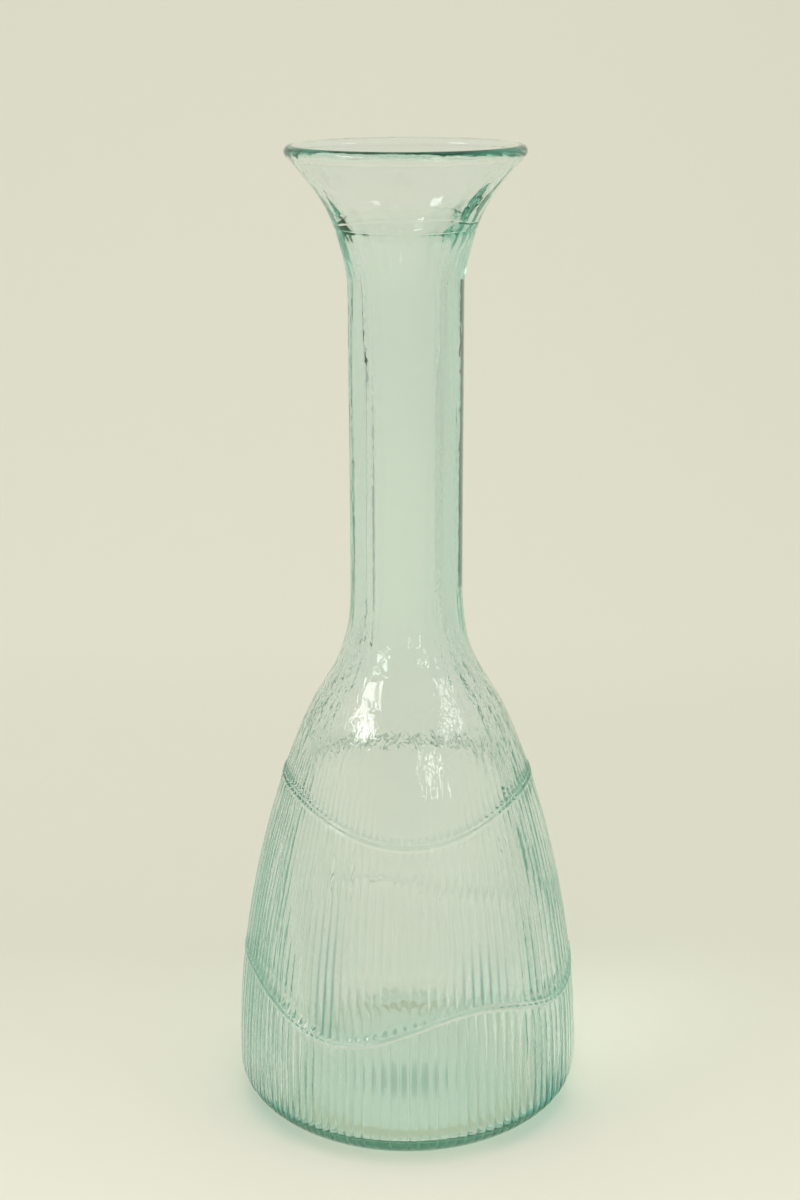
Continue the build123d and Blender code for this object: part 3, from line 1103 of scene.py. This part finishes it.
@dataclass(frozen=True)
class DarkCard:
    """Dark upright card beside the vase, square to the line from it, that draws the edges of the glass.

    Only light that has gone in and out of a single wall shows it, after the given number of turns back
    inside that wall. Seen straight through the vase it is clear.
    """

    name: str
    place: Pair
    width: float
    span: Pair
    tone: float
    turns: int
    wall_crossings: int = 2
    margin: float = 0.5

    def material(self) -> bpy.types.Material:
        """Builds the card's matt grey, which only the light of the right depths shows.

        Returns:
            The material.
        """
        material, kit, shader, output = new_material(self.name)
        kit.feed(shader, {"Base Color": opaque((self.tone, self.tone, self.tone)), **MATT})
        rays = kit.add("LightPath").outputs
        depths = (("Transmission Depth", self.wall_crossings), ("Glossy Depth", self.turns))
        same = (kit.maths("COMPARE", rays[depth], count, self.margin) for depth, count in depths)
        clear = kit.add("BsdfTransparent").outputs["BSDF"]
        surface = kit.mix_shaders(kit.maths("MULTIPLY", *same), clear, shader.outputs["BSDF"])
        kit.feed(output, {"Surface": surface})
        return material

    def build(self) -> None:
        """Stands the card beside the vase as a stage piece."""
        middle = np.array(self.place)
        along = np.array([-middle[1], middle[0]]) / np.hypot(*middle) * self.width / 2
        ends = np.stack([middle - along, middle + along])
        low, high = (np.concatenate([ends, np.full((2, 1), height)], axis=1) for height in self.span)
        mesh = bpy.data.meshes.new(self.name)
        mesh.from_pydata(np.concatenate([low, high]).tolist(), [], [(0, 1, 3, 2)])
        mesh.materials.append(self.material())
        card = add_object(self.name, mesh)
        card.visible_camera = card.visible_diffuse = card.visible_shadow = False


@dataclass
class Studio:
    """Pale floor that sweeps up behind, soft lamps, a pale room and the camera of the photograph.

    The floor's colour holds painted light in front of the vase and painted shade just behind it. The cards
    stand on the left: one for the neck's right edge, and two for the line along its bore, which is darker
    high up.
    """

    paper: Triple = (0.735, 0.725, 0.605)
    paper_span: Pair = (-0.12, 0.48)
    # painted light and shade on the floor: lighter in front of the vase, darker just behind it
    painted_floor_shading: tuple[Pair, ...] = ((0.0, 1.06), (0.36, 0.91), (1.0, 1.01))
    front: float = -1.6
    bend: float = 0.35
    bend_radius: float = 0.9
    bend_rows: int = 24
    wall_height: float = 1.4
    half_width: float = 1.3
    camera_distance: float = 0.6131
    camera_height: float = 0.3691
    camera_aside: float = -0.0022
    camera_pitch: float = math.radians(17.127)
    camera_roll: float = math.radians(-0.18)
    focal_pixels: float = 1902.6
    sensor: float = 36.0
    nearest: float = 0.01
    room_light: float = 0.61
    ceiling: tuple[Pair, Pair] = ((-0.4, 0.5), (0.4, 0.68))
    horizon: tuple[Pair, Pair] = ((0.15, 0.4), (0.0, 1.0))
    light_bounces: int = 32
    lamps: tuple[SoftLamp, ...] = (
        SoftLamp("key_softbox", (-1.10, -0.69, 0.93), (0.62, 0.34), 4.4),
        SoftLamp("fill_softbox", (1.13, -0.65, 0.94), (0.46, 0.28), 1.5),
        SoftLamp("front_softbox", (0.56, -1.17, 0.53), (0.16, 0.14), 0.4),
        SoftLamp("top_softbox", (0.0, -0.35, 1.75), (1.2, 1.2), 11.9, mirrored=False),
    )
    cards: tuple[DarkCard, ...] = (
        DarkCard("edge_card", (-0.459, 0.102), 0.333, (0.0, 0.3), 0.06, turns=0),
        DarkCard("bore_card", (-0.440, 0.178), 0.05, (0.0, 0.3), 0.55, turns=1),
        DarkCard("upper_bore_card", (-0.431, 0.174), 0.05, (0.175, 0.3), 0.06, turns=1),
    )

    def paper_material(self) -> bpy.types.Material:
        """Builds the matt cream paper, with painted light in front of the vase and painted shade just behind
        it: the tone changes evenly between stops from front to back.

        Returns:
            The material.
        """
        material, kit, shader, _ = new_material("cream_paper")
        depth = kit.span(kit.parts("Object")["Y"], self.paper_span, (0.0, 1.0))
        tones = kit.add("ValToRGB", {"Fac": depth})
        tones.color_ramp.elements.new(self.painted_floor_shading[1][0])
        for stop, (position, share) in zip(tones.color_ramp.elements, self.painted_floor_shading):
            stop.position = position
            stop.color = opaque(tuple(share * value for value in self.paper))
        kit.feed(shader, {"Base Color": tones.outputs["Color"], **MATT})
        return material

    def sweep(self) -> None:
        """Makes the floor and backdrop: one profile, level, then a quarter circle, then upright, along X."""
        turn = np.linspace(0.0, math.pi / 2, self.bend_rows)
        bend_y = self.bend + self.bend_radius * np.sin(turn)
        bend_z = self.bend_radius * (1.0 - np.cos(turn))
        y = np.concatenate([[self.front], bend_y, [bend_y[-1]]])
        z = np.concatenate([[0.0], bend_z, [self.wall_height]])
        left = np.stack([np.full_like(y, -self.half_width), y, z], axis=1)
        right = left * (-1.0, 1.0, 1.0)
        rows = np.arange(len(y) - 1)
        faces = np.stack([rows, rows + len(y), rows + len(y) + 1, rows + 1], axis=1)
        mesh = smooth_mesh("paper_sweep", np.concatenate([left, right]), faces.tolist())
        mesh.materials.append(self.paper_material())
        floor = add_object("paper_sweep", mesh)

    def room(self) -> None:
        """Lights the room evenly, and shows the glass a pale horizon under a dimmer ceiling."""
        world = bpy.data.worlds.new("pale_room")
        bpy.context.scene.world = world
        world.use_nodes = True
        kit = NodeKit(world.node_tree)
        parts = kit.parts("Generated")
        ceiling, rise = kit.span(parts["Y"], *self.ceiling), kit.span(parts["Z"], *self.horizon)
        shown = kit.mix_colours(rise, opaque(self.paper), ceiling)
        diffuse = kit.add("LightPath").outputs["Is Diffuse Ray"]
        even = opaque((self.room_light, self.room_light, self.room_light))
        seen = kit.mix_colours(diffuse, shown, even)
        kit.feed(world.node_tree.nodes["Background"], {"Color": seen, "Strength": 1.0})

    def camera(self) -> None:
        """Places the camera in front of the vase, tilted down as in the photograph."""
        data = bpy.data.cameras.new("photo_camera")
        data.sensor_width = self.sensor
        data.lens = self.focal_pixels * self.sensor / PHOTO_HEIGHT
        data.clip_start = self.nearest
        camera = add_object("photo_camera", data)
        camera.location = (self.camera_aside, -self.camera_distance, self.camera_height)
        tilt = Matrix.Rotation(math.pi / 2 - self.camera_pitch, 3, "X")
        camera.rotation_euler = (tilt @ Matrix.Rotation(self.camera_roll, 3, "Z")).to_euler()
        bpy.context.scene.camera = camera

    def light_paths(self) -> None:
        """Lets light turn often enough inside the thick edges of the glass."""
        for limit in ("max_bounces", "glossy_bounces", "transmission_bounces", "transparent_max_bounces"):
            setattr(bpy.context.scene.cycles, limit, self.light_bounces)

    def build(self) -> None:
        """Builds the floor, the lamps, the cards, the room and the camera."""
        self.sweep()
        for item in (*self.lamps, *self.cards):
            item.build()
        self.room()
        self.camera()
        self.light_paths()
        bpy.context.scene.view_settings.view_transform = "Standard"


def main() -> None:
    """Builds the vase and its studio, and reports each piece."""
    logging.basicConfig(level=logging.INFO, format="%(name)s: %(message)s")
    shape = VaseShape()
    vase = GlassVase(shape, GlassRelief(shape)).build(AquaGlass())
    triangles = sum(len(face.vertices) - 2 for face in vase.data.polygons)
    LOG.info("%s: %d triangles", vase.name, triangles)
    Studio().build()
    LOG.info("studio: floor, lamps, cards and camera")


if __name__ == "__main__":
    main()
